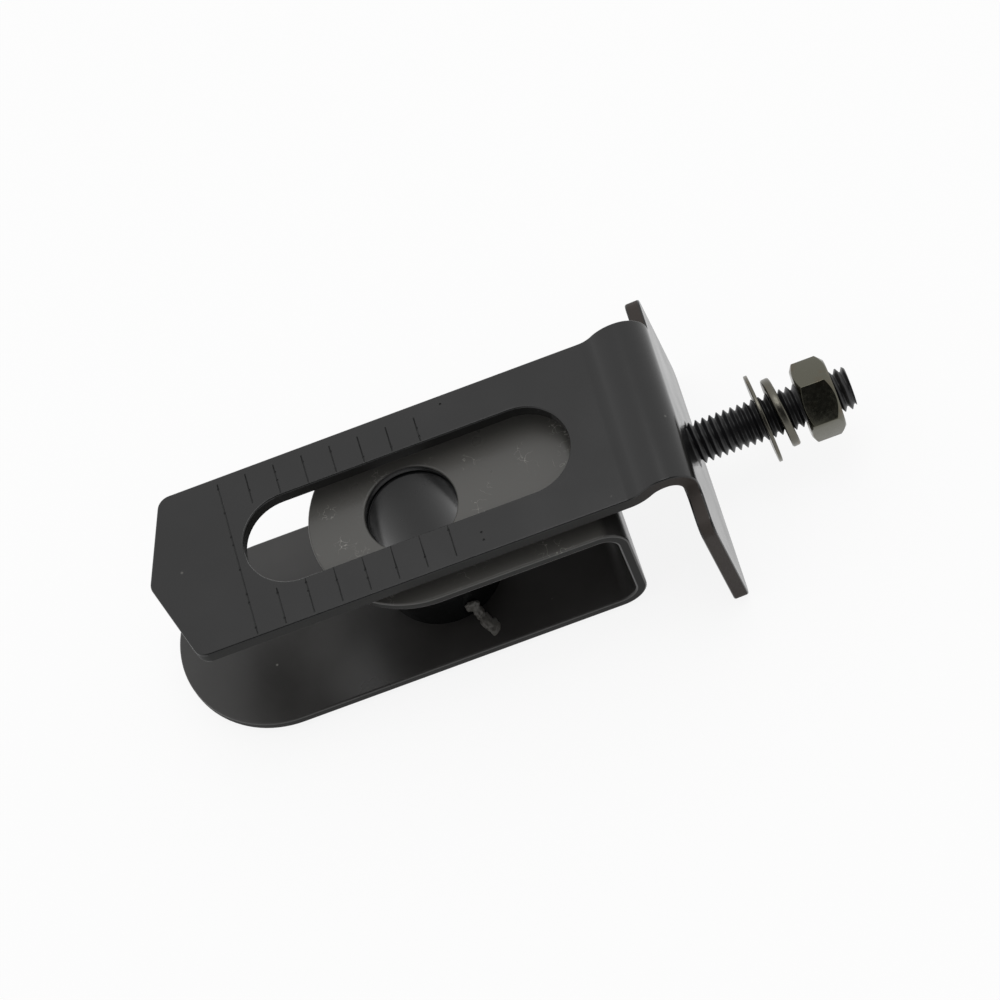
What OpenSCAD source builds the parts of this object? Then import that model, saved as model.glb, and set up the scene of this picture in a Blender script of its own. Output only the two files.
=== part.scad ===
// Chain adjuster for a rear wheel: a folded index plate that caps the end of a swing arm,
// and a folded puller with a sleeve for the wheel axle and a bolt, which draws the axle back
// along the plate's scale.
// Origin: the centre of the axle hole, on the axis of the bolt. +X runs along the bolt to
// its tip, and +Z runs along the axle hole and out through the index plate. Millimetres.

/* [Axle puller] */
// Thickness of the puller's sheet
puller_t = 1.6; // [1.2:0.1:2.2]
// Width of the puller, and of its two round ends
puller_w = 28.6; // [25:0.2:32]
// Height over the puller's two leaves
puller_h = 20; // [18:0.5:23]
// Inner radius of the puller's two bends
puller_bend_r = 2.4; // [1:0.2:3.4]
// Distance from the axle hole to the outside of the end wall
puller_reach = 26; // [23:0.5:28]
// Distance from the axle hole to the centre of the lower leaf's round end
lower_reach = 24.7; // [16:0.5:32]
// How far each leaf's axle hole stands back from the sleeve's bore, all round
hole_step = 0.25; // [0:0.05:0.6]

/* [Axle sleeve] */
// Diameter of the sleeve's bore, which the axle passes
sleeve_bore_d = 12.3; // [10:0.1:14]
// Wall of the sleeve
sleeve_wall = 2.35; // [1.2:0.05:3]

/* [Index plate] */
// Thickness of the index plate's sheet
plate_t = 2.1; // [1.6:0.1:2.6]
// Width of the marked strip
strip_w = 25.4; // [22:0.2:28]
// Distance from the axle hole to the strip's point
tip_reach = 36; // [30:0.5:42]
// How far the point stands out beyond the strip's shoulders
point_l = 4.1; // [2:0.1:8]
// Radius that rounds the point and the shoulders
point_r = 2; // [1:0.2:4]
// Width of the axle slot
slot_w = 13.2; // [11:0.2:16]
// Distance from the axle hole back to the centre of the slot's far round end
slot_back = 15.9; // [10:0.1:20]
// Distance from the axle hole forward to the centre of the slot's near round end
slot_front = 16.7; // [12:0.1:18]
// Space between the strip and the puller, where the arm's wall passes
rail_gap = 2.5; // [1.8:0.1:4]
// Sideways place of the index plate, as it lies on the bolt
plate_shift = -0.4; // [-0.6:0.1:0.6]

/* [Joggle and end plate] */
// Height of the step up before the end bend
joggle_h = 1.8; // [1:0.1:2.4]
// Length of the step, which is an S of two equal bends
joggle_l = 5.2; // [4.8:0.1:7]
// Flat left between the step and the end bend
crest_l = 0.2; // [0.1:0.1:1]
// Inner radius of the end bend
end_bend_r = 2; // [1:0.2:3]
// Distance from the axle hole to the end plate's outer face, at the bolt
plate_reach = 38.3; // [37:0.1:42]
// Angle by which the end plate opens past square
end_lean = 3.5; // [0:0.5:6]
// Angle by which the plate's folds lie off square to the strip, seen from above
fold_skew = 1.5; // [0:0.5:3]
// Width over the end plate's two wings
wing_w = 38; // [34:0.2:42]
// Height of the wings above the bolt
wing_top = 11.3; // [8:0.1:12]
// Depth of the end plate below the bolt
end_drop = 11; // [9:0.1:16]
// Radius of the wings' corners
wing_r = 2; // [1:0.2:4]
// Radius of the inside corner where a wing leaves the strip
neck_r = 1.2; // [0.6:0.1:1.6]
// Diameter of the bolt's hole in the end plate
plate_hole_d = 6.6; // [6.4:0.1:8]

/* [Adjuster bolt] */
// Diameter over the bolt's thread
bolt_d = 6; // [5:0.1:6.2]
// Length of the bolt under its head
bolt_l = 36.5; // [33:0.5:42]
// Chamfer at the bolt's tip
tip_chamfer = 0.9; // [0.4:0.1:1.4]
// Width across the flats of the bolt's head
head_af = 10; // [8:0.5:12]
// Height of the bolt's head
head_h = 4; // [3:0.2:5]

/* [Nut and washers] */
// Width across the flats of the nut
nut_af = 9.8; // [9:0.1:13]
// Height of the nut
nut_h = 4.8; // [4:0.1:6]
// Turn of the nut on the bolt, as it was left
nut_turn = 38; // [0:1:59]
// Angle of the chamfer on the nut's outer end, from that end's face
nut_chamfer = 45; // [30:1:50]
// Length of thread that shows past the nut
thread_past_nut = 2.3; // [1:0.1:3]
// Outside diameter of the flat washer
flat_od = 12.6; // [11:0.1:14]
// Thickness of the flat washer
flat_t = 0.5; // [0.4:0.1:1.2]
// Angle at which the flat washer hangs on the thread
flat_tilt = 3.3; // [0:0.1:4]
// Outside diameter of the spring washer
spring_od = 10.1; // [9.4:0.1:12]
// Thickness of the spring washer's section
spring_t = 1.2; // [1:0.1:1.6]
// How far the spring washer's two ends stand apart along the bolt
spring_rise = 0.7; // [0.2:0.1:1]
// Width of the split in the spring washer
spring_split = 1; // [0.6:0.1:2]
// Angle at which the spring washer hangs on the thread
spring_tilt = 5; // [0:0.5:6]
// Room between the nut and the spring washer
nut_gap = 2.4; // [1.6:0.1:3]
// Room between the two washers
washer_gap = 1.6; // [1:0.1:2]

/* [Hidden] */
$fn = 96;
// Flat strips that make up each bend of a sheet, and each rounded corner of an outline
bend_facets = 14;
corner_facets = 8;

// Clearances, each measured on the radius
seat_fit = 0.05;
washer_fit = 0.2;
// Length by which a cutting shape runs past what it cuts
over = 1;

// Puller
puller_top = puller_h / 2;
puller_bend_out = puller_bend_r + puller_t;
wall_inside = puller_reach - puller_t;
upper_run = puller_reach + puller_w / 2 - puller_bend_out;
wall_run = puller_h - 2 * puller_bend_out;
lower_run = puller_reach + lower_reach + puller_w / 2 - puller_bend_out;
leaf_hole_d = sleeve_bore_d + 2 * hole_step;

// Index plate: heights of its faces, and where its folds fall
strip_under = puller_top + rail_gap;
strip_top = strip_under + plate_t;
joggle_turn = 2 * atan(joggle_h / joggle_l);
joggle_r = joggle_l / (2 * sin(joggle_turn)) - plate_t / 2;
end_bend_out = end_bend_r + plate_t;
end_bend_z = strip_top + joggle_h - end_bend_out;
end_bend_x = plate_reach - (end_bend_out + end_bend_z * sin(end_lean)) / cos(end_lean);
strip_run = tip_reach + end_bend_x - crest_l - joggle_l;
end_run = end_bend_z / cos(end_lean) + end_bend_out * tan(end_lean) + end_drop;

// Bolt, nut and washers, each placed from the bolt's tip
bolt_tip = wall_inside + bolt_l;
nut_out = bolt_tip - thread_past_nut;
spring_x = nut_out - nut_h - nut_gap - spring_t;
flat_x = spring_x - washer_gap - flat_t;
washer_bore_d = bolt_d + 2 * washer_fit;
// A hexagon's usual chamfer, and how far inside the flats its round face lies
hex_chamfer = 30;
chamfer_step = 0.2;
// Depth of the countersink at each mouth of the nut's bore
nut_mouth = 0.4;
// The axis about which a hanging washer leans, square to the bolt
lean_axis = [0, -0.53, 0.85];

// Stations along the middle of a folded sheet, each [x, z, heading in degrees]. The steps
// are [straight run, turn, inner radius]. A positive turn folds down, a negative one up.
function bend_stations(p, turn, middle_r) =
    let (
        side = sign(turn),
        centre_x = p[0] + side * middle_r * sin(p[2]),
        centre_z = p[1] - side * middle_r * cos(p[2])
    )
    [
        for (k = [1:bend_facets])
            let (a = p[2] - turn * k / bend_facets)
            [centre_x - side * middle_r * sin(a), centre_z + side * middle_r * cos(a), a]
    ];

function fold_stations(t, steps, i = 0, p = [0, 0, 0]) =
    i == len(steps) ? [] :
    let (
        run = steps[i][0],
        turn = steps[i][1],
        q = [p[0] + run * cos(p[2]), p[1] + run * sin(p[2]), p[2]],
        straight = run > 0 ? [q] : [],
        bend = turn == 0 ? [] : bend_stations(q, turn, steps[i][2] + t / 2),
        last = turn == 0 ? q : bend[bend_facets - 1]
    )
    concat(straight, bend, fold_stations(t, steps, i + 1, last));

// The side section of a folded sheet, whose top face starts at the origin along +X.
module folded_section(t, steps) {
    path = concat([[0, 0, 0]], fold_stations(t, steps));
    last = len(path) - 1;
    top = [for (p = path) [p[0] - t / 2 * sin(p[2]), p[1] + t / 2 * cos(p[2])]];
    bottom = [for (k = [0:last]) let (p = path[last - k])
        [p[0] + t / 2 * sin(p[2]), p[1] - t / 2 * cos(p[2])]];
    translate([0, -t / 2])
        polygon(concat(top, bottom));
}

// A folded sheet, w wide, standing on its side section.
module folded_sheet(w, t, steps) {
    rotate([90, 0, 0])
        linear_extrude(w, center = true)
            folded_section(t, steps);
}

// The corner c of an outline, between its neighbours a and b, rounded to a radius.
function rounded_corner(a, c, b, radius) =
    radius == 0 ? [c] :
    let (
        u = (a - c) / norm(a - c),
        v = (b - c) / norm(b - c),
        half = acos(u * v) / 2,
        middle = c + (u + v) / norm(u + v) * radius / sin(half),
        start = c + u * radius / tan(half) - middle,
        finish = c + v * radius / tan(half) - middle,
        from = atan2(start[1], start[0]),
        turn = atan2(finish[1], finish[0]) - from,
        sweep = turn > 180 ? turn - 360 : turn < -180 ? turn + 360 : turn
    )
    [for (k = [0:corner_facets])
        let (angle = from + sweep * k / corner_facets)
        middle + radius * [cos(angle), sin(angle)]];

// An outline through corners, each [x, y, radius].
module rounded_outline(corners) {
    count = len(corners);
    spot = function (i) [corners[i % count][0], corners[i % count][1]];
    polygon([for (i = [0:count - 1])
        each rounded_corner(spot(i + count - 1), spot(i), spot(i + 1), corners[i][2])]);
}

// The outline of one leaf of the puller, seen from above, with its round end at x = back.
module leaf_outline(back) {
    translate([back, 0])
        circle(d = puller_w);
    translate([back, -puller_w / 2])
        square([puller_reach + over - back, puller_w]);
}

// The two leaves' outlines as blocks that meet at the middle of the end wall.
module puller_blank() {
    linear_extrude(puller_h)
        leaf_outline(0);
    translate([0, 0, -puller_h])
        linear_extrude(puller_h)
            leaf_outline(-lower_reach);
}

module axle_puller() {
    color([0.13, 0.13, 0.13])
        difference() {
            intersection() {
                translate([-puller_w / 2, 0, puller_top])
                    folded_sheet(puller_w + 2 * over, puller_t, [
                        [upper_run, 90, puller_bend_r],
                        [wall_run, 90, puller_bend_r],
                        [lower_run, 0, 0]
                    ]);
                puller_blank();
            }
            cylinder(h = puller_h + 2 * over, d = leaf_hole_d, center = true);
            translate([wall_inside - over, 0, 0])
                rotate([0, 90, 0])
                    cylinder(h = puller_t + 2 * over, d = bolt_d + 2 * seat_fit);
        }
}

// The tube that stands between the two leaves, round the axle.
module axle_sleeve() {
    sleeve_l = puller_h - 2 * puller_t - 2 * seat_fit;
    color([0.13, 0.13, 0.13])
        difference() {
            cylinder(h = sleeve_l, d = sleeve_bore_d + 2 * sleeve_wall, center = true);
            cylinder(h = sleeve_l + 2 * over, d = sleeve_bore_d, center = true);
        }
}

// The strip seen from above: a point, two shoulders and straight sides.
module strip_outline() {
    half = strip_w / 2;
    shoulder = point_l - tip_reach;
    rounded_outline([
        [-tip_reach, 0, point_r],
        [shoulder, -half, point_r],
        [plate_reach + over, -half, 0],
        [plate_reach + over, half, 0],
        [shoulder, half, point_r]
    ]);
}

// Stands a shape on the end plate: x = 0 is its outer face, and z runs up along it.
module on_end_plate() {
    translate([plate_reach, 0, 0])
        rotate([0, -end_lean, 0])
            children();
}

// The end plate's face: two wings with rounded corners, filleted into the strip's neck.
module wings_outline() {
    half = wing_w / 2;
    neck = strip_w / 2;
    neck_top = wing_top + 2 * neck_r;
    rounded_outline([
        [-half, -end_drop, wing_r],
        [half, -end_drop, wing_r],
        [half, wing_top, wing_r],
        [neck, wing_top, neck_r],
        [neck, neck_top, 0],
        [-neck, neck_top, 0],
        [-neck, wing_top, neck_r],
        [-half, wing_top, wing_r]
    ]);
}

// The outlines that the folded sheet is cut to: the strip all along, and the wings.
module plate_blank() {
    skew_depth = wing_w * sin(fold_skew);
    cut_depth = plate_t + 2 * over + skew_depth;
    linear_extrude(strip_top + joggle_h + over)
        strip_outline();
    on_end_plate()
        translate([over + skew_depth / 2 - cut_depth, 0, 0])
            rotate([90, 0, 90])
                linear_extrude(cut_depth)
                    wings_outline();
}

// The index plate's sheet, wider than the plate, with its folds a little off square.
module folded_blank() {
    translate([plate_reach, 0, strip_top])
        rotate(-fold_skew)
            translate([-plate_reach - tip_reach - over, 0, 0])
                folded_sheet(wing_w + 2 * over, plate_t, [
                    [strip_run + over, -joggle_turn, joggle_r],
                    [0, joggle_turn, joggle_r],
                    [crest_l, 90 - end_lean, end_bend_r],
                    [end_run + over, 0, 0]
                ]);
}

// The axle's slot through the strip.
module axle_slot() {
    translate([0, 0, strip_under - over]) {
        for (x = [-slot_back, slot_front])
            translate([x, 0, 0])
                cylinder(h = plate_t + 2 * over, d = slot_w);
        translate([-slot_back, -slot_w / 2, 0])
            cube([slot_back + slot_front, slot_w, plate_t + 2 * over]);
    }
}

module index_plate() {
    color([0.16, 0.16, 0.16])
        difference() {
            translate([0, plate_shift, 0])
                difference() {
                    intersection() {
                        folded_blank();
                        plate_blank();
                    }
                    axle_slot();
                }
            on_end_plate()
                translate([-plate_t - over, 0, 0])
                    rotate([0, 90, 0])
                        cylinder(h = plate_t + 2 * over, d = plate_hole_d);
        }
}

// A hexagon prism along +X from x = 0. Each end's chamfer rises from a round face at the
// given angle, and an angle of 0 leaves the far end's chamfer alone.
module hexagon(af, h, near_angle, far_angle) {
    corner_r = af / 2 / cos(30);
    face_r = af / 2 - chamfer_step;
    near_r = near_angle > 0 ? face_r : corner_r;
    near_slope = (corner_r - near_r) * tan(near_angle);
    far_slope = (corner_r - face_r) * tan(far_angle);
    rotate([0, 90, 0])
        intersection() {
            rotate(30)
                cylinder(h = h, r = corner_r, $fn = 6);
            rotate_extrude()
                polygon([
                    [0, 0],
                    [near_r, 0],
                    [corner_r, near_slope],
                    [corner_r, h - far_slope],
                    [face_r, h],
                    [0, h]
                ]);
        }
}

module adjuster_bolt() {
    color([0.10, 0.10, 0.10]) {
        translate([wall_inside, 0, 0]) {
            mirror([1, 0, 0])
                hexagon(head_af, head_h, 0, hex_chamfer);
            rotate([0, 90, 0])
                cylinder(h = bolt_l - tip_chamfer, d = bolt_d);
            translate([bolt_l - tip_chamfer, 0, 0])
                rotate([0, 90, 0])
                    cylinder(h = tip_chamfer, d1 = bolt_d, d2 = bolt_d - 2 * tip_chamfer);
        }
    }
}

module flat_washer() {
    color([0.42, 0.41, 0.36])
        translate([flat_x + flat_t / 2, 0, 0])
            rotate(flat_tilt, lean_axis)
                rotate([0, 90, 0])
                    difference() {
                        cylinder(h = flat_t, d = flat_od, center = true);
                        cylinder(h = flat_t + 2 * over, d = washer_bore_d, center = true);
                    }
}

// The spring washer is a flat bar wound through almost one turn, so that it climbs by
// spring_rise from end to end. Ring i holds the bar's four corners at its own angle.
function spring_angle(i, last) =
    let (half_split = asin(spring_split / (spring_od + washer_bore_d)))
    half_split * 2 + i * (360 - 4 * half_split) / last;

function spring_ring(i, last) =
    let (
        a = spring_angle(i, last),
        climb = spring_rise * (i / last - 0.5),
        inner = washer_bore_d / 2,
        outer = spring_od / 2
    )
    [
        for (corner = [[inner, -1], [outer, -1], [outer, 1], [inner, 1]])
            [corner[0] * cos(a), corner[0] * sin(a), climb + corner[1] * spring_t / 2]
    ];

module spring_washer() {
    last = 44;
    points = [for (i = [0:last]) each spring_ring(i, last)];
    walls = [
        for (i = [0:last - 1], k = [0:3])
            let (n = (k + 1) % 4)
            [4 * i + k, 4 * i + 4 + k, 4 * i + 4 + n, 4 * i + n]
    ];
    ends = [[0, 1, 2, 3], [4 * last + 3, 4 * last + 2, 4 * last + 1, 4 * last]];
    color([0.50, 0.48, 0.42])
        translate([spring_x + spring_t / 2, 0, 0])
            rotate(spring_tilt, lean_axis)
                rotate([0, 90, 0])
                    polyhedron(points, concat(walls, ends), convexity = 4);
}

module hex_nut() {
    bore_r = bolt_d / 2 + seat_fit;
    color([0.42, 0.41, 0.36])
        translate([nut_out - nut_h, 0, 0])
            rotate([nut_turn, 0, 0])
                difference() {
                    hexagon(nut_af, nut_h, hex_chamfer, nut_chamfer);
                    rotate([0, 90, 0]) {
                        translate([0, 0, -over])
                            cylinder(h = nut_h + 2 * over, r = bore_r);
                        cylinder(h = nut_mouth, r1 = bore_r + nut_mouth, r2 = bore_r);
                        translate([0, 0, nut_h - nut_mouth])
                            cylinder(h = nut_mouth, r1 = bore_r, r2 = bore_r + nut_mouth);
                    }
                }
}

index_plate();
axle_puller();
axle_sleeve();
adjuster_bolt();
flat_washer();
spring_washer();
hex_nut();
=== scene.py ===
# %% [markdown]
# # A motorcycle chain adjuster
# A rear wheel is pulled back along the swing arm to tighten the chain. A folded index plate
# caps the arm's end, a folded puller holds the wheel's axle in a sleeve, and an M6 bolt with
# a nut draws the puller along the plate's scale. This script dresses the solid model: it
# rounds the sheets' edges, cuts the scale, winds the thread, adds a tack weld and gives each
# piece its finish.

# %% Load the solid model as a fixed frame
from math import cos, degrees, pi, radians

import bmesh
import bpy
from mathutils import Matrix, Vector, noise


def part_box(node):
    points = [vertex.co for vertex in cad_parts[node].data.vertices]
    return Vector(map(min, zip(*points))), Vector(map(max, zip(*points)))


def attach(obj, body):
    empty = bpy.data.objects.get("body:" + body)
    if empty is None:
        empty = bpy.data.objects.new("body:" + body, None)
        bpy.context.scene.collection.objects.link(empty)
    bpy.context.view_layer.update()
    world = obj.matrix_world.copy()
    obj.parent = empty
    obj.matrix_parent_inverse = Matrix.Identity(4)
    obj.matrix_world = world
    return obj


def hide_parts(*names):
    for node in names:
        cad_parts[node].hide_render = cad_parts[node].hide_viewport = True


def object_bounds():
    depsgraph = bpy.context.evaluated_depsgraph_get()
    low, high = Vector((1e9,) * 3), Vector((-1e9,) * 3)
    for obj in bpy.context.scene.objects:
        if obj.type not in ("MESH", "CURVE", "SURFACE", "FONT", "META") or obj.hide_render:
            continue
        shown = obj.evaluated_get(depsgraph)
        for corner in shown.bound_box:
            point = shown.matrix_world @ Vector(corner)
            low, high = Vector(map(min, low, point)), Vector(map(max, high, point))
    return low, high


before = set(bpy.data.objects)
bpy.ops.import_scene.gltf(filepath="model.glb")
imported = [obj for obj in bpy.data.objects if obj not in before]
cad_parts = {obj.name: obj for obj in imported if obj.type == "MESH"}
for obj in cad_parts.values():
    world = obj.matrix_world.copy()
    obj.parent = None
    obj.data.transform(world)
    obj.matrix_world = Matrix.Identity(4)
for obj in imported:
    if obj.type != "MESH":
        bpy.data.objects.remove(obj)  # the solids, the bodies they ride on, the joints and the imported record
cad_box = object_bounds()
MM = 0.001
print("solids:", ", ".join(sorted(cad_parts)))

# %% [markdown]
# ## The camera
# A camera can be turned by hand until the view looks right, or worked out once from many
# points along the part's own edges. The second way was used, so the camera is given by its
# place, the way it looks and its up direction, with a long lens of 113 mm.

# %% Place the camera
CAMERA_SPOT = Vector((36.93, -214.45, 368.04)) * MM
CAMERA_FORWARD = Vector((-0.0606, 0.5065, -0.8601)).normalized()
CAMERA_UP = Vector((0.3449, 0.8192, 0.4581))
SENSOR_WIDTH = 36  # mm, as wide as the square picture
LENS = 112.855  # mm
CLIP_START = 10  # mm


def place_camera():
    data = bpy.data.cameras.new("product_camera")
    data.sensor_width = SENSOR_WIDTH
    data.lens = LENS
    data.clip_start = CLIP_START * MM
    right = CAMERA_FORWARD.cross(CAMERA_UP).normalized()
    up = right.cross(CAMERA_FORWARD)
    camera = bpy.data.objects.new("product_camera", data)
    camera.matrix_world = Matrix((right, up, -CAMERA_FORWARD)).transposed().to_4x4()
    camera.location = CAMERA_SPOT
    bpy.context.scene.collection.objects.link(camera)
    bpy.context.scene.camera = camera
    return camera


camera = place_camera()
below_level = 90 - degrees(CAMERA_FORWARD.angle(Vector((0, 0, -1))))
print(camera.name, "looks down by", round(below_level, 1), "degrees")

# %% [markdown]
# ## Materials from nodes
# A finish is a Principled shader whose colour and roughness vary a little over the surface.
# Every node is added by one small function, and colours are written as sRGB hex, the way a
# paint chart gives them, and turned to linear light here.


# %% Helpers for materials
def linear(hex_colour):
    """An sRGB colour such as 1A1A1A as linear red, green, blue and alpha."""
    channels = [int(hex_colour[k : k + 2], 16) / 255 for k in (0, 2, 4)]
    bent = [c / 12.92 if c <= 0.04045 else ((c + 0.055) / 1.055) ** 2.4 for c in channels]
    return (*bent, 1)


def add_node(tree, kind, inputs=None, output=None, **settings):
    """Adds a node with its settings and links, and gives the node or one named output.

    An input's value is either a plain value or another node's output.
    """
    node = tree.nodes.new(kind)
    for name, value in settings.items():
        setattr(node, name, value)
    for name, value in (inputs or {}).items():
        if isinstance(value, bpy.types.NodeSocket):
            tree.links.new(value, node.inputs[name])
        else:
            node.inputs[name].default_value = value
    return node.outputs[output] if output else node


def new_material(name):
    """An empty material: its tree, its Principled shader and its object coordinates."""
    material = bpy.data.materials.new(name)
    material.use_nodes = True
    tree = material.node_tree
    shader = tree.nodes["Principled BSDF"]
    spot = add_node(tree, "ShaderNodeTexCoord", output="Object")
    return material, tree, shader, spot


def per_metre(size_mm):
    """The scale that gives a pattern whose features are this many millimetres apart."""
    return 1 / (size_mm * MM)


NOISE_SPREAD = {"From Min": 0.3, "From Max": 0.7}  # nearly all of a noise pattern's values
NOISE_MIDDLE = 0.5
print("a pattern 2 mm apart has a scale of", per_metre(2))

# %% [markdown]
# ## Black electrocoat on steel
# Both folded sheets are mild steel, dipped in black electrocoat and baked. The paint film is
# some 20 micrometres thick and satin, so the eye sees a dark grey with a soft sheen. A plain
# black would look like a hole, so there is a faint mottle, a few specks of dust, and short
# curly scratches in patches. A scratch could be stretched noise, but handling leaves curls,
# so each is the thin line where a noise crosses its middle value, kept only inside a few
# patches.

# %% Patterns for worn paint
CURL_SIZE = 1.4  # mm
CURL_LINE = {"From Min": 0.012, "From Max": 0.003}  # how near the noise is to its middle
CURL_PATCH_SIZE = 5  # mm
CURL_PATCH = {"From Min": 0.54, "From Max": 0.62}
DUST_APART = 2.6  # mm
DUST_SHARE = 0.10  # of all cells hold a speck
DUST_STEP = 0.001  # as narrow a step as a mask needs
SPECK_EDGE = {"From Min": 0.09, "From Max": 0.04}  # shares of a cell, from the middle


def curly_scratches(tree, spot):
    """A mask of thin curly lines that show only in patches."""
    tangle = add_node(tree, "ShaderNodeTexNoise", {"Vector": spot, "Scale": per_metre(CURL_SIZE)}, "Fac")
    from_middle = add_node(
        tree, "ShaderNodeMath", {0: tangle, 1: NOISE_MIDDLE}, "Value", operation="SUBTRACT"
    )
    distance = add_node(tree, "ShaderNodeMath", {0: from_middle}, "Value", operation="ABSOLUTE")
    line = add_node(tree, "ShaderNodeMapRange", {"Value": distance, **CURL_LINE}, "Result")
    broad = add_node(
        tree, "ShaderNodeTexNoise", {"Vector": spot, "Scale": per_metre(CURL_PATCH_SIZE)}, "Fac"
    )
    patch = add_node(tree, "ShaderNodeMapRange", {"Value": broad, **CURL_PATCH}, "Result")
    return add_node(tree, "ShaderNodeMath", {0: line, 1: patch}, "Value", operation="MULTIPLY")


def dust(tree, spot):
    """A mask of small round specks, present in only some cells of a Voronoi pattern."""
    cells = add_node(tree, "ShaderNodeTexVoronoi", {"Vector": spot, "Scale": per_metre(DUST_APART)})
    near_middle = add_node(
        tree, "ShaderNodeMapRange", {"Value": cells.outputs["Distance"], **SPECK_EDGE}, "Result"
    )
    pick = add_node(tree, "ShaderNodeSeparateColor", {"Color": cells.outputs["Color"]}, "Red")
    threshold = {"From Min": 1 - DUST_SHARE, "From Max": 1 - DUST_SHARE + DUST_STEP}
    chosen = add_node(tree, "ShaderNodeMapRange", {"Value": pick, **threshold}, "Result")
    return add_node(tree, "ShaderNodeMath", {0: near_middle, 1: chosen}, "Value", operation="MULTIPLY")


def along(tree, spot, axis, start, finish):
    """A mask that grows from 0 to 1 between two places in millimetres along an axis."""
    place = add_node(tree, "ShaderNodeSeparateXYZ", {"Vector": spot}, axis)
    span = {"From Min": start * MM, "From Max": finish * MM}
    return add_node(tree, "ShaderNodeMapRange", {"Value": place, **span}, "Result")


print("dust specks lie in one cell of", round(1 / DUST_SHARE))

# %% The black coat
MOTTLE_SIZE = 9  # mm
MOTTLE_SHADE = {"To Min": 0.85, "To Max": 1.15}  # the film's brightness over the mottle
GLOSS_SWING = 0.03  # of roughness, either way
PEEL_SIZE = 0.8  # mm, the waves that a sprayed or dipped film dries with
PEEL_HEIGHT = 0.002  # mm
SCUFF = "A09E98"  # dust and scratches


def black_coat(name, colour, roughness, wear, patch=None, curls=False, specular=0.5):
    """Electrocoat with a faint mottle and dust. A patch is an axis, two places and a colour."""
    material, tree, shader, spot = new_material(name)
    mottle = add_node(
        tree, "ShaderNodeTexNoise", {"Vector": spot, "Scale": per_metre(MOTTLE_SIZE), "Detail": 3.0}, "Fac"
    )
    shade = add_node(
        tree, "ShaderNodeMapRange", {"Value": mottle, **NOISE_SPREAD, **MOTTLE_SHADE}, "Result"
    )
    under = add_node(
        tree,
        "ShaderNodeMix",
        {"Factor": 1.0, "A": linear(colour), "B": shade},
        "Result",
        data_type="RGBA",
        blend_type="MULTIPLY",
    )
    flaws = dust(tree, spot)
    if patch:
        axis, start, finish, patch_colour = patch
        mask = along(tree, spot, axis, start, finish)
        changed = {"Factor": mask, "A": under, "B": linear(patch_colour)}
        under = add_node(tree, "ShaderNodeMix", changed, "Result", data_type="RGBA")
        if curls:
            scribble = add_node(
                tree,
                "ShaderNodeMath",
                {0: curly_scratches(tree, spot), 1: mask},
                "Value",
                operation="MULTIPLY",
            )
            flaws = add_node(
                tree, "ShaderNodeMath", {0: scribble, 1: flaws}, "Value", operation="MAXIMUM"
            )
    share = add_node(tree, "ShaderNodeMath", {0: flaws, 1: wear}, "Value", operation="MULTIPLY")
    scuffed = {"Factor": share, "A": under, "B": linear(SCUFF)}
    worn = add_node(tree, "ShaderNodeMix", scuffed, "Result", data_type="RGBA")
    tree.links.new(worn, shader.inputs["Base Color"])
    swing = {"To Min": roughness - GLOSS_SWING, "To Max": roughness + GLOSS_SWING}
    gloss = add_node(tree, "ShaderNodeMapRange", {"Value": mottle, **NOISE_SPREAD, **swing}, "Result")
    tree.links.new(gloss, shader.inputs["Roughness"])
    shader.inputs["Specular IOR Level"].default_value = specular
    peel = add_node(tree, "ShaderNodeTexNoise", {"Vector": spot, "Scale": per_metre(PEEL_SIZE)}, "Fac")
    bump = add_node(tree, "ShaderNodeBump", {"Height": peel, "Distance": PEEL_HEIGHT * MM}, "Normal")
    tree.links.new(bump, shader.inputs["Normal"])
    return material


print("orange peel", PEEL_HEIGHT, "mm high, every", PEEL_SIZE, "mm")

# %% [markdown]
# ## Six black finishes
# Black paint isn't the same on every face. The upper leaf's top face, found by its height, is painted a paler
# grey than the rest of the sheet. A sheared edge is half torn, so its coat lies matt and takes little light,
# and towards the wings it is painted browner and paler, a painted warm sheen of the light on the wings. The
# tube and the grooves are painted darker, as painted shade in the bore and in the grooves, and the thread
# differs from the rest in depth and gloss.

# %% Make the black finishes
# The upper leaf's top face, found by its height, is painted a paler grey, with curly scratches in it
PALER_TOP_FACE = ("Z", 9.6, 9.95, "4F4E4B")
# The wings' sheared edges are painted browner and paler: a painted warm sheen of the light on the wings
WING_EDGE_PAINTED_SHEEN = ("X", 26.5, 36, "3E3936")
plate_coat = black_coat("black_electrocoat_plate", "151515", roughness=0.22, wear=0.22)
puller_coat = black_coat(
    "black_electrocoat_puller", "323130", roughness=0.30, wear=0.55, patch=PALER_TOP_FACE, curls=True
)
# The tube is black, and its coat is painted darker than the leaves': painted shade in the bore and between the
# leaves
sleeve_shade_coat = black_coat("black_tube_painted_shade", "101111", roughness=0.25, wear=0.1, specular=0.2)
cut_edge_coat = black_coat(
    "black_electrocoat_cut_edge", "242423", roughness=0.6, wear=0.1, patch=WING_EDGE_PAINTED_SHEEN, specular=0.15
)
# A near-black coat for the cut grooves and dots: painted shade in them
groove_shade_coat = black_coat("groove_painted_shade", "060606", roughness=0.55, wear=0.1)
thread_coat = black_coat("black_oxide_thread", "121214", roughness=0.38, wear=0.2)
BLACK_FINISHES = (plate_coat, puller_coat, sleeve_shade_coat, cut_edge_coat, groove_shade_coat, thread_coat)
print("black finishes:", ", ".join(coat.name for coat in BLACK_FINISHES))

# %% [markdown]
# ## Olive zinc plate
# The nut and washers are steel with zinc plate under an olive passivation. It is a metal
# skin, so it has no paint-like colour under it: the dark olive tints the reflection itself.
# A little gold-brown shows where the passivation is thin or rusty, drawn with broad noise.

# %% The olive zinc
STAIN_SIZE = 3.5  # mm
STAIN_EDGE = {"From Min": 0.56, "From Max": 0.80}
GRAIN_SIZE = 0.5  # mm
GRAIN_HEIGHT = 0.006  # mm
GRAIN_GLOSS = (-0.05, 0.08)  # of roughness, below and above


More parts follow.
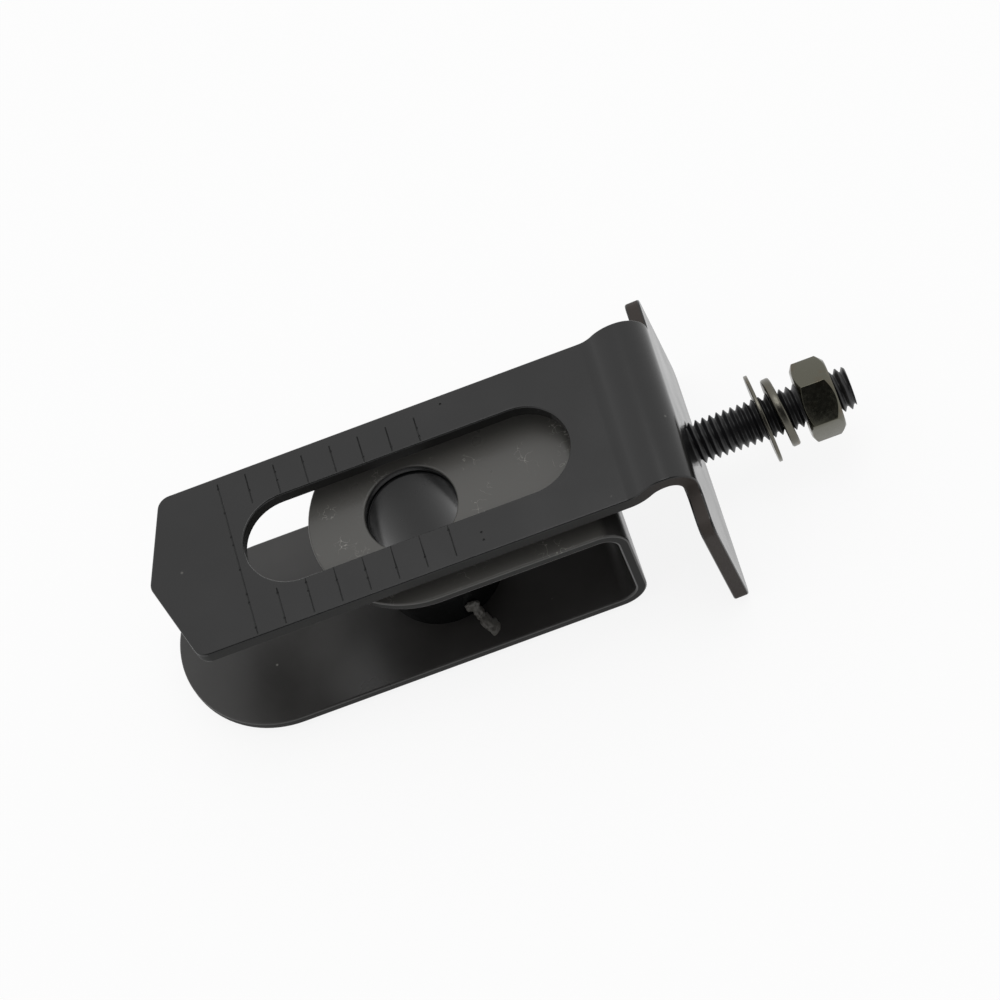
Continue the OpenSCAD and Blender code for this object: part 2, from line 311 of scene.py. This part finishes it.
def olive_zinc(name, colour, stain, roughness):
    material, tree, shader, spot = new_material(name)
    patches = add_node(
        tree, "ShaderNodeTexNoise", {"Vector": spot, "Scale": per_metre(STAIN_SIZE), "Detail": 4.0}, "Fac"
    )
    stained = add_node(tree, "ShaderNodeMapRange", {"Value": patches, **STAIN_EDGE}, "Result")
    colours = {"Factor": stained, "A": linear(colour), "B": linear(stain)}
    tint = add_node(tree, "ShaderNodeMix", colours, "Result", data_type="RGBA")
    tree.links.new(tint, shader.inputs["Base Color"])
    shader.inputs["Metallic"].default_value = 1.0
    grain = add_node(
        tree, "ShaderNodeTexNoise", {"Vector": spot, "Scale": per_metre(GRAIN_SIZE), "Detail": 3.0}, "Fac"
    )
    swing = {"To Min": roughness + GRAIN_GLOSS[0], "To Max": roughness + GRAIN_GLOSS[1]}
    gloss = add_node(tree, "ShaderNodeMapRange", {"Value": grain, **NOISE_SPREAD, **swing}, "Result")
    tree.links.new(gloss, shader.inputs["Roughness"])
    bump = add_node(tree, "ShaderNodeBump", {"Height": grain, "Distance": GRAIN_HEIGHT * MM}, "Normal")
    tree.links.new(bump, shader.inputs["Normal"])
    return material


washer_zinc = olive_zinc("olive_zinc_washer", "64625A", stain="6E5A3C", roughness=0.28)
nut_zinc = olive_zinc("olive_zinc_nut", "5E5D53", stain="5F5040", roughness=0.20)
print("zinc finishes:", washer_zinc.name, nut_zinc.name)

# %% [markdown]
# ## Pieces from the solids
# The pieces already have their true form in the frame, so most are copied rather than drawn
# again. A copy's loose triangles are merged, and flat neighbours are joined into whole faces,
# because only then does a bevel run cleanly along an edge. A real blanked sheet is never
# sharp: the punch rolls one edge over and the coat rounds all of them.

# %% Copy a solid and round its edges
FLAT_ANGLE = radians(1)  # below this two faces count as one flat face
SHARP_ANGLE = radians(35)  # above this an edge is a real edge, not part of a bend
MERGE_DISTANCE = 0.002  # mm


def copy_of_solid(node):
    """A merged copy of a solid's triangles, with its flat neighbours joined."""
    bm = bmesh.new()
    bm.from_mesh(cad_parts[node].data)
    bmesh.ops.remove_doubles(bm, verts=bm.verts, dist=MERGE_DISTANCE * MM)
    bmesh.ops.dissolve_limit(
        bm, angle_limit=FLAT_ANGLE, verts=bm.verts, edges=bm.edges, use_dissolve_boundaries=False
    )
    return bm


def sharp_edges(bm):
    return [e for e in bm.edges if e.is_manifold and e.calc_face_angle() > SHARP_ANGLE]


def round_edges(bm, edges, width, segments=3):
    bmesh.ops.bevel(
        bm,
        geom=edges,
        offset=width * MM,
        offset_type="OFFSET",
        affect="EDGES",
        segments=segments,
        profile=0.5,
        material=-1,
        clamp_overlap=True,
    )


print("an edge over", round(degrees(SHARP_ANGLE)), "degrees is rounded")


# %% Turn a bmesh into a piece
def make_object(bm, name, material):
    """Turns a finished bmesh into an object with smooth bends and crisp edges."""
    bmesh.ops.recalc_face_normals(bm, faces=bm.faces)
    mesh = bpy.data.meshes.new(name)
    bm.to_mesh(mesh)
    bm.free()
    mesh.shade_smooth()
    mesh.set_sharp_from_angle(angle=SHARP_ANGLE)
    mesh.materials.append(material)
    piece = bpy.data.objects.new(name, mesh)
    bpy.context.scene.collection.objects.link(piece)
    return piece


def flatten_shading(piece):
    """Keeps flat faces flat in the shading, so that only the rounded edges catch light."""
    weighted = piece.modifiers.new("flat_faces", "WEIGHTED_NORMAL")
    weighted.keep_sharp = True
    weighted.weight = 100


def keep_result(piece):
    """Makes the result of a piece's modifiers its own mesh."""
    bpy.context.view_layer.update()
    graph = bpy.context.evaluated_depsgraph_get()
    result = bpy.data.meshes.new_from_object(piece.evaluated_get(graph), depsgraph=graph)
    piece.modifiers.clear()
    old = piece.data
    piece.data = result
    bpy.data.meshes.remove(old)


def cut_away(piece, cutter):
    """Takes one object's shape out of another, and deletes the cutter."""
    modifier = piece.modifiers.new("cut", "BOOLEAN")
    modifier.object = cutter
    modifier.operation = "DIFFERENCE"
    modifier.solver = "EXACT"
    modifier.use_self = True
    keep_result(piece)
    bpy.data.objects.remove(cutter)


def report(piece):
    low = Vector([min(v.co[k] for v in piece.data.vertices) for k in range(3)]) / MM
    high = Vector([max(v.co[k] for v in piece.data.vertices) for k in range(3)]) / MM
    spans = " ".join(f"{a:.2f}..{b:.2f}" for a, b in zip(low, high))
    print(f"{piece.name}: {len(piece.data.polygons)} faces, box {spans} mm")


print("piece helpers ready")

# %% [markdown]
# ## The scale's marks
# The scale is engraved: a full line at the zero end, then a short line every 4 mm on each
# side of the slot, with deeper dots along it. Of the last mark only three dots can be seen.
# Marks drawn only as colour would vanish when the light moves, so they are cut: thin rods sink a twentieth of
# a millimetre into the sheet and small balls a little deeper, and a Boolean takes them away. The cut faces get
# the second material, a near-black coat that is painted shade in the grooves.

# %% Cutters for the scale
STRIP_TOP = 14.6  # mm, the height of the strip's top face
GROOVE_RADIUS = 0.13
GROOVE_DEPTH = 0.055
DOT_RADIUS = 0.18
DOT_DEPTH = 0.14
DOT_STEP = 1.3  # mm between places where a dot may be
DOT_FIRST = 0.6  # of a step from the mark's start
DOT_ASIDE = 0.03  # mm beside the line
DOT_STRIDE = 5  # places are counted off in this stride, so that the dots look uneven
DOT_CYCLE = 7
DOT_KEPT = 3  # of a cycle's places hold a dot


def on_strip(x, y):
    return Vector((x, y, STRIP_TOP))


def add_groove(bm, start, finish):
    """A rod between two points on the sheet's face, sunk to the groove's depth."""
    way = finish - start
    middle = (start + finish) / 2 + Vector((0, 0, GROOVE_RADIUS - GROOVE_DEPTH))
    turn = way.to_track_quat("Z", "Y").to_matrix().to_4x4()
    bmesh.ops.create_cone(
        bm,
        cap_ends=True,
        segments=8,
        radius1=GROOVE_RADIUS * MM,
        radius2=GROOVE_RADIUS * MM,
        depth=way.length * MM,
        matrix=Matrix.Translation(middle * MM) @ turn,
    )


def add_dot(bm, spot):
    middle = spot + Vector((0, 0, DOT_RADIUS - DOT_DEPTH))
    bmesh.ops.create_icosphere(
        bm, subdivisions=2, radius=DOT_RADIUS * MM, matrix=Matrix.Translation(middle * MM)
    )


def add_mark(grooves, dots, x, inner, outer, first_dot):
    """One line of the scale, with dots at some of the places along it."""
    add_groove(grooves, on_strip(x, inner), on_strip(x, outer))
    way = 1 if outer > inner else -1
    places = int(abs(outer - inner) / DOT_STEP)
    for place in range(places):
        if (place * DOT_STRIDE + first_dot) % DOT_CYCLE < DOT_KEPT:
            add_dot(dots, on_strip(x + DOT_ASIDE * way, inner + way * (place + DOT_FIRST) * DOT_STEP))


print("grooves", GROOVE_DEPTH, "mm deep, dots", DOT_DEPTH, "mm deep")

# %% Lay out the marks
MARK_START = -23.6  # mm from the axle hole to the zero line
MARK_STEP = 4.0
MARK_COUNT = 8
LAST_DOTS = (-11.1, -9.9, 10.9)  # mm across the strip, the only trace of the last mark
STRIP_EDGES = (-13.1, 12.3)  # mm along Y, near and far
SLOT_EDGES = (-7.0, 6.2)
ZERO_INSET = (0.35, 1.1)  # mm from the near and the far edge to the zero line's ends
NEAR_GAP = 0.12  # mm from the slot to a mark
FAR_GAP = 0.3
NEAR_LENGTH = 5.65  # mm, and each mark is shorter than the one before
NEAR_LOSS = 0.11
FAR_LENGTH = 4.9
FAR_LOSS = 0.15
FAR_DOT_SHIFT = 2  # so that the far dots don't repeat the near ones


def scale_cutters():
    """The rods and the balls that cut the whole scale."""
    grooves = bmesh.new()
    dots = bmesh.new()
    zero_far = STRIP_EDGES[1] - ZERO_INSET[1]
    zero_near = STRIP_EDGES[0] + ZERO_INSET[0]
    add_mark(grooves, dots, MARK_START, zero_far, zero_near, 0)
    near = SLOT_EDGES[0] - NEAR_GAP
    far = SLOT_EDGES[1] + FAR_GAP
    for mark in range(1, MARK_COUNT):
        x = MARK_START + mark * MARK_STEP
        add_mark(grooves, dots, x, near, near - (NEAR_LENGTH - NEAR_LOSS * mark), mark)
        far_end = far + (FAR_LENGTH - FAR_LOSS * mark)
        add_mark(grooves, dots, x, far, far_end, mark + FAR_DOT_SHIFT)
    for spot in LAST_DOTS:
        add_dot(dots, on_strip(MARK_START + MARK_COUNT * MARK_STEP, spot))
    return grooves, dots


print("the marks span", MARK_COUNT * MARK_STEP, "mm")

# %% [markdown]
# ## The index plate
# The plate is one folded sheet. Its sheared edges carry another coat than its faces, and
# they could be split off as pieces of their own, but a sheet is one thing, so its faces only
# get another material slot. They are told apart by the way they face after the bevel.

# %% Find the sheared faces
SIDE_FACING = 0.97  # how squarely a side face looks along Y
RIM_FACING = 0.08  # how little a rim face looks along the sheet's own thickness
STRIP_END = 22  # mm along X, where the strip's straight edges end and the folds begin
WING_START = 27
WING_TOP = 13  # mm up Z


def coat_cut_edges(bm, flat_end, index):
    """Gives the sheared faces of a folded sheet their own material slot."""
    for face in bm.faces:
        n = face.normal
        middle = face.calc_center_median() / MM
        side = abs(n.y) > SIDE_FACING
        rim_of_leaf = middle.x < flat_end and abs(n.z) < RIM_FACING
        rim_of_wing = middle.x > WING_START and middle.z < WING_TOP and abs(n.x) < RIM_FACING
        if side or rim_of_leaf or rim_of_wing:
            face.material_index = index


def cutter_object(bm, name, index):
    """A cutter whose faces carry a material slot's number over to what it cuts."""
    for face in bm.faces:
        face.material_index = index
    cutter = make_object(bm, name, groove_shade_coat)
    cutter.data.materials.append(groove_shade_coat)
    return cutter


print("sheared faces look within", round(degrees(RIM_FACING), 1), "degrees of the sheet's plane")

# %% Make the index plate
PLATE_BEVEL = 0.45
PLATE_GROOVE = 1  # material slots of the plate, after its own coat
PLATE_EDGE = 2


def make_index_plate():
    bm = copy_of_solid("index_plate")
    round_edges(bm, sharp_edges(bm), PLATE_BEVEL, segments=4)
    bm.normal_update()
    coat_cut_edges(bm, STRIP_END, PLATE_EDGE)
    plate = make_object(bm, "index_plate_sheet", plate_coat)
    plate.data.materials.append(groove_shade_coat)
    plate.data.materials.append(cut_edge_coat)
    grooves, dots = scale_cutters()
    cut_away(plate, cutter_object(grooves, "groove_rods", PLATE_GROOVE))
    cut_away(plate, cutter_object(dots, "dot_balls", PLATE_GROOVE))
    plate.data.shade_smooth()
    plate.data.set_sharp_from_angle(angle=SHARP_ANGLE)
    flatten_shading(plate)
    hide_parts("index_plate")
    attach(plate, "plate")
    report(plate)
    return plate


index_plate = make_index_plate()

# %% [markdown]
# ## The puller and its sleeve
# The puller is one strip folded to a U, with a tube between its leaves that keeps the axle's
# nut from crushing them. Both come from the solids. Only the bore's two mouths are bevelled
# on the sleeve, because its outer rims sit against the leaves.

# %% Make the puller
PULLER_BEVEL = 0.3
PULLER_STRAIGHT = 18  # mm, where the leaves are still flat
HOLE_REACH = 7.5  # mm from the axle's line, past the wall of the hole and the bore
PULLER_EDGE = 1  # material slots of the puller, after its own coat
PULLER_HOLE = 2


def make_puller():
    bm = copy_of_solid("axle_puller")
    round_edges(bm, sharp_edges(bm), PULLER_BEVEL)
    bm.normal_update()
    coat_cut_edges(bm, PULLER_STRAIGHT, PULLER_EDGE)
    # The axle hole's wall and the sleeve's bore look like one surface, so they share the tube's darker coat,
    # painted shade in the bore
    for face in bm.faces:
        in_hole = face.calc_center_median().xy.length < HOLE_REACH * MM
        if face.material_index == PULLER_EDGE and in_hole:
            face.material_index = PULLER_HOLE
    puller = make_object(bm, "axle_puller_sheet", puller_coat)
    puller.data.materials.append(cut_edge_coat)
    puller.data.materials.append(sleeve_shade_coat)
    flatten_shading(puller)
    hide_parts("axle_puller")
    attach(puller, "puller")
    report(puller)
    return puller


axle_puller = make_puller()

# %% Make the sleeve
SLEEVE_BEVEL = 0.12


def make_sleeve():
    bm = copy_of_solid("axle_sleeve")
    mouths = [e for e in sharp_edges(bm) if e.verts[0].co.xy.length < HOLE_REACH * MM]
    round_edges(bm, mouths, SLEEVE_BEVEL, segments=2)
    sleeve = make_object(bm, "axle_sleeve_tube", sleeve_shade_coat)
    flatten_shading(sleeve)
    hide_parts("axle_sleeve")
    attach(sleeve, "puller")
    report(sleeve)
    return sleeve


axle_sleeve = make_sleeve()

# %% [markdown]
# ## The tack weld
# A short tack holds the sleeve to the lower leaf. A weld is a puddle that froze, so it has no
# drawn outline: four flattened balls overlap, noise dents each of them, and one voxel remesh
# melts them into a single skin, the way the bead's own drops ran together.

# %% Make the tack weld
WELD_LUMPS = (
    # middle in mm, then half the size along each axis
    ((2.5, -8.5, -5.9), (1.0, 0.6, 1.25)),
    ((3.0, -9.1, -7.1), (0.75, 0.95, 1.05)),
    ((3.5, -10.2, -8.0), (0.8, 1.3, 0.8)),
    ((4.2, -11.3, -8.3), (0.95, 1.3, 0.5)),
)
WELD_DENT = 0.3  # of a lump's size
WELD_DENTS = 1.9  # the noise's scale on a ball of radius 1
WELD_VOXEL = 0.09  # mm
# The bead is rough, so it looks dull, and it is paler than the paint round it: partly its own grey metal,
# partly a painted glint
weld_glint_coat = black_coat("weld_bead_painted_glint", "53514D", roughness=0.5, wear=0.5)


def make_weld():
    bm = bmesh.new()
    for middle, half in WELD_LUMPS:
        ball = bmesh.ops.create_icosphere(bm, subdivisions=4, radius=1)["verts"]
        for v in ball:
            v.co *= 1 + WELD_DENT * noise.noise(v.co * WELD_DENTS + Vector(middle))
        bmesh.ops.scale(bm, verts=ball, vec=Vector(half) * MM)
        bmesh.ops.translate(bm, verts=ball, vec=Vector(middle) * MM)
    weld = make_object(bm, "sleeve_tack_weld", weld_glint_coat)
    melt = weld.modifiers.new("melt", "REMESH")
    melt.mode = "VOXEL"
    melt.voxel_size = WELD_VOXEL * MM
    keep_result(weld)
    weld.data.shade_smooth()
    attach(weld, "puller")
    report(weld)
    return weld


tack_weld = make_weld()

# %% [markdown]
# ## The bolt's thread
# An M6 x 1.0 thread has a crest every millimetre. It could be faked with a bump, but its
# saw-tooth outline shows against the pale floor, so it is wound for real: one tooth's
# outline is spun round the axis while each step moves it along, and the turns are merged.
# At the tip the points are drawn in to lie inside a cone, which makes the bolt's chamfer.

# %% Wind a thread
PITCH = 1.0
THREAD_STEPS = 40  # steps in a turn
SPARE_TURNS = 2  # wound past each end, and cut off
CREST_FLAT = 0.12
ROOT_FLAT = 0.18
THREAD_DEPTH = 0.62
CREST_PLACE = 0.59  # where a crest crosses the +Y side, along the bolt, past a whole millimetre
THREAD_MERGE = 0.004  # mm
CUT_TOLERANCE = 0.0005  # mm


def cut_across(bm, place, way):
    """Cuts across the X axis, drops what lies beyond the cut and closes it."""
    cut = bmesh.ops.bisect_plane(
        bm,
        geom=list(bm.verts) + list(bm.edges) + list(bm.faces),
        dist=CUT_TOLERANCE * MM,
        plane_co=(place * MM, 0, 0),
        plane_no=(way, 0, 0),
        clear_outer=True,
    )
    rim = [e for e in cut["geom_cut"] if isinstance(e, bmesh.types.BMEdge)]
    bmesh.ops.edgeloop_fill(bm, edges=rim)


def wind_thread(start, finish, crest_radius, widen=0.0):
    """A threaded rod along +X between two places in millimetres, closed by flat ends."""
    bm = bmesh.new()
    first = int(start) - SPARE_TURNS + CREST_PLACE - CREST_FLAT / 2
    turns = int(finish - first) + SPARE_TURNS
    flank = (PITCH - CREST_FLAT - ROOT_FLAT) / 2
    crest = crest_radius + widen
    root = crest_radius - THREAD_DEPTH + widen
    outline = [
        (0, crest),
        (CREST_FLAT, crest),
        (CREST_FLAT + flank, root),
        (CREST_FLAT + flank + ROOT_FLAT, root),
        (PITCH, crest),
    ]
    tooth = [bm.verts.new(Vector((first + x, r, 0)) * MM) for x, r in outline]
    edges = [bm.edges.new(pair) for pair in zip(tooth, tooth[1:])]
    bmesh.ops.spin(
        bm,
        geom=tooth + edges,
        cent=(0, 0, 0),
        axis=(1, 0, 0),
        dvec=(PITCH / THREAD_STEPS * MM, 0, 0),
        angle=2 * pi * turns,
        steps=THREAD_STEPS * turns,
        use_merge=False,
        use_duplicate=False,
    )
    bmesh.ops.remove_doubles(bm, verts=bm.verts, dist=THREAD_MERGE * MM)
    cut_across(bm, start, -1)
    cut_across(bm, finish, 1)
    return bm


print("a thread is", THREAD_DEPTH, "mm deep, with", THREAD_STEPS, "steps in a turn")

# %% Make the bolt
BOLT_RADIUS = 3.0
BOLT_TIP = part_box("adjuster_bolt")[1].x / MM
HEAD_UNDER = 24.4  # mm along X, where the head ends and the shank begins
HEAD_TRIM = 0.001  # mm kept off that plane, so that the cut misses the head's own face
SHANK_OVERLAP = 0.5  # mm of thread inside the head
HEAD_BEVEL = 0.12
TIP_CHAMFER = 0.35


def keep_in_cone(bm, tip, chamfer, crest_radius):
    """Draws in the points near the tip, so that the thread runs out on a chamfer."""
    for v in bm.verts:
        reach = tip * MM - v.co.x
        limit = (crest_radius - chamfer) * MM + max(reach, 0)
        radius = v.co.yz.length
        if reach < chamfer * MM and radius > limit:
            v.co.y *= limit / radius
            v.co.z *= limit / radius


def add_bmesh(target, source):
    """Joins one bmesh's shells to another's."""
    mesh = bpy.data.meshes.new("joined")
    source.to_mesh(mesh)
    source.free()
    target.from_mesh(mesh)
    bpy.data.meshes.remove(mesh)


def make_bolt():
    head = copy_of_solid("adjuster_bolt")
    cut_across(head, HEAD_UNDER - HEAD_TRIM, 1)
    round_edges(head, sharp_edges(head), HEAD_BEVEL, segments=2)
    rod = wind_thread(HEAD_UNDER - SHANK_OVERLAP, BOLT_TIP, BOLT_RADIUS)
    keep_in_cone(rod, BOLT_TIP, TIP_CHAMFER, BOLT_RADIUS)
    add_bmesh(head, rod)
    bolt = make_object(head, "adjuster_bolt_m6", thread_coat)
    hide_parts("adjuster_bolt")
    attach(bolt, "puller")
    report(bolt)
    return bolt


adjuster_bolt = make_bolt()

# %% [markdown]
# ## The nut
# The nut is the solid's hexagon with a thread inside. A plug that fills its plain bore has a
# slightly fatter copy of the bolt's thread cut out of it, so the two threads run together
# with a few hundredths of a millimetre of play, as a real tap leaves them.

# %% Make the nut
THREAD_PLAY = 0.04
TAP_RUN = 1  # mm that the tap runs past each end of the plug
NUT_BEVEL = 0.1
NUT_MOUTH = 0.4
NUT_BORE = 3.05
PLUG_GRIP = 0.1  # mm that the plug reaches into the nut's wall
nut_low, nut_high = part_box("hex_nut")


def make_nut():
    body = copy_of_solid("hex_nut")
    round_edges(body, sharp_edges(body), NUT_BEVEL, segments=2)
    start = nut_low.x / MM + NUT_MOUTH
    finish = nut_high.x / MM - NUT_MOUTH
    middle = (start + finish) / 2 * MM
    plug = bmesh.new()
    bmesh.ops.create_cone(
        plug,
        cap_ends=True,
        segments=64,
        radius1=(NUT_BORE + PLUG_GRIP) * MM,
        radius2=(NUT_BORE + PLUG_GRIP) * MM,
        depth=(finish - start) * MM,
        matrix=Matrix.Translation((middle, 0, 0)) @ Matrix.Rotation(pi / 2, 4, "Y"),
    )
    thread = make_object(plug, "nut_thread_blank", nut_zinc)
    tap = wind_thread(start - TAP_RUN, finish + TAP_RUN, BOLT_RADIUS, THREAD_PLAY)
    cut_away(thread, make_object(tap, "tap", nut_zinc))
    body.from_mesh(thread.data)
    bpy.data.objects.remove(thread)
    nut = make_object(body, "hex_nut_m6", nut_zinc)
    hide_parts("hex_nut")
    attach(nut, "nut")
    report(nut)
    return nut


hex_nut = make_nut()

# %% [markdown]
# ## The two washers
# The flat washer is stamped from sheet, so its edges are nearly crisp. The spring washer is
# wound from drawn wire whose corners are round before it is coiled, which is why light runs
# along its rim in one soft line: its bevel is a quarter of its thickness.

# %% Make the washers
FLAT_WASHER_BEVEL = 0.1
SPRING_WASHER_BEVEL = 0.3


def make_washer(node, name, edge_width, segments):
    bm = copy_of_solid(node)
    round_edges(bm, sharp_edges(bm), edge_width, segments)
    washer = make_object(bm, name, washer_zinc)
    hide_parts(node)
    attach(washer, node)
    report(washer)
    return washer


flat_washer = make_washer("flat_washer", "flat_washer_m6", FLAT_WASHER_BEVEL, 2)
spring_washer = make_washer("spring_washer", "spring_washer_m6", SPRING_WASHER_BEVEL, 3)

# %% [markdown]
# ## Floor
# The part lies on a pale table. A floor lit to pure white would need so much light that the
# part itself would be washed out, so most of the white is the floor's own where it is seen
# or reflected. Its own colour takes the rest, and keeps the part's soft shadow.

# %% Make the floor
FLOOR_DROP = 0.03  # mm between the lowest solid and the floor, so that the two don't flicker
FLOOR_SIZE = 1.5  # m, from the middle to an edge
FLOOR_SHARE = 0.88  # how much of the floor's white is its own when it is seen directly
FLOOR_COLOUR = "F4F4F4"
FLOOR_ROUGHNESS = 0.9
WHITE = (1, 1, 1, 1)


def seen_directly(tree):
    """1 for rays from the camera, in a reflection or through glass, and 0 for lighting."""
    path = add_node(tree, "ShaderNodeLightPath")
    pair = {0: path.outputs["Is Camera Ray"], 1: path.outputs["Is Glossy Ray"]}
    either = add_node(tree, "ShaderNodeMath", pair, "Value", operation="MAXIMUM")
    trio = {0: either, 1: path.outputs["Is Transmission Ray"]}
    return add_node(tree, "ShaderNodeMath", trio, "Value", operation="MAXIMUM")


def make_floor():
    bm = bmesh.new()
    bmesh.ops.create_grid(bm, x_segments=1, y_segments=1, size=FLOOR_SIZE)
    bmesh.ops.translate(bm, verts=bm.verts, vec=(0, 0, cad_box[0][2] - FLOOR_DROP * MM))
    material = bpy.data.materials.new("white_table")
    material.use_nodes = True
    tree = material.node_tree
    shader = tree.nodes["Principled BSDF"]
    shader.inputs["Base Color"].default_value = linear(FLOOR_COLOUR)
    shader.inputs["Roughness"].default_value = FLOOR_ROUGHNESS
    glow = add_node(tree, "ShaderNodeEmission", {"Color": WHITE, "Strength": 1.0}, "Emission")
    own = {0: seen_directly(tree), 1: FLOOR_SHARE}
    share = add_node(tree, "ShaderNodeMath", own, "Value", operation="MULTIPLY")
    blend = add_node(
        tree, "ShaderNodeMixShader", {0: share, 1: shader.outputs["BSDF"], 2: glow}, "Shader"
    )
    tree.links.new(blend, tree.nodes["Material Output"].inputs["Surface"])
    floor = make_object(bm, "table", material)
    return floor


floor = make_floor()
print(floor.name, "lies at", round(cad_box[0][2] / MM - FLOOR_DROP, 2), "mm")

# %% [markdown]
# ## Light
# The part lies in a white tent that is dim at the front and bright towards the top and back,
# so that the black faces get a soft sheen from behind. The tent could be one even white, but
# then every black face would look milky, so it has a dark opening at a fixed place in front,
# which shiny faces reflect. One lamp almost overhead, a little behind the part, adds the
# shadow that falls into the slot.

# %% Light the tent
WORLD_LEVELS = {"To Min": 0.25, "To Max": 1.15}  # from the front wall to the back wall
BRIGHT_WAY = Vector((-0.06, 0.70, 0.71)).normalized()
BRIGHT_SPREAD = {"From Min": -0.2, "From Max": 1.0}  # cosines of the angle to that way
WORLD_SEEN = 0.95
OPENING_WAY = Vector((0.09, -0.50, 0.86)).normalized()
OPENING_DARK = 0.04
OPENING_EDGE = {"From Min": cos(radians(48)), "From Max": cos(radians(24))}
OPENING_LEVELS = {"To Min": WORLD_SEEN, "To Max": OPENING_DARK}


def light_world():
    world = bpy.data.worlds.new("white_tent")
    bpy.context.scene.world = world
    world.use_nodes = True
    tree = world.node_tree
    background = tree.nodes["Background"]
    background.inputs["Color"].default_value = WHITE
    way = add_node(tree, "ShaderNodeTexCoord", output="Generated")
    to_opening = add_node(
        tree, "ShaderNodeVectorMath", {0: way, 1: OPENING_WAY}, "Value", operation="DOT_PRODUCT"
    )
    opening = {"Value": to_opening, **OPENING_EDGE, **OPENING_LEVELS}
    seen = add_node(tree, "ShaderNodeMapRange", opening, "Result")
    to_bright = add_node(
        tree, "ShaderNodeVectorMath", {0: way, 1: BRIGHT_WAY}, "Value", operation="DOT_PRODUCT"
    )
    walls = {"Value": to_bright, **BRIGHT_SPREAD, **WORLD_LEVELS}
    light = add_node(tree, "ShaderNodeMapRange", walls, "Result")
    choice = {"Factor": seen_directly(tree), "A": light, "B": seen}
    level = add_node(tree, "ShaderNodeMix", choice, "Result", data_type="FLOAT")
    tree.links.new(level, background.inputs["Strength"])
    return world


tent = light_world()
print(tent.name, "gives", WORLD_LEVELS["To Min"], "in front and", WORLD_LEVELS["To Max"], "behind")

# %% Hang the lamp
LAMP_SPOT = Vector((0.08, 0.1, 0.7))  # m
LAMP_AIM = Vector((0.01, 0, 0))
LAMP_SIZE = 0.3  # m
LAMP_POWER = 0.8  # W


def add_lamp():
    data = bpy.data.lights.new("top_lamp", "AREA")
    data.shape = "SQUARE"
    data.size = LAMP_SIZE
    data.energy = LAMP_POWER
    lamp = bpy.data.objects.new("top_lamp", data)
    lamp.location = LAMP_SPOT
    lamp.rotation_euler = (LAMP_AIM - LAMP_SPOT).to_track_quat("-Z", "Y").to_euler()
    bpy.context.scene.collection.objects.link(lamp)
    return lamp


top_lamp = add_lamp()
print("lamp over the part at", [round(c, 2) for c in top_lamp.location])

# %% [markdown]
# ## Colour management and the solid model's box
# The Standard view shows each colour as it is written. The solid model's box is printed. It
# may not be larger.

# %% Finish
bpy.context.scene.view_settings.view_transform = "Standard"
print("solid box", [[round(c / MM, 2) for c in corner] for corner in cad_box])
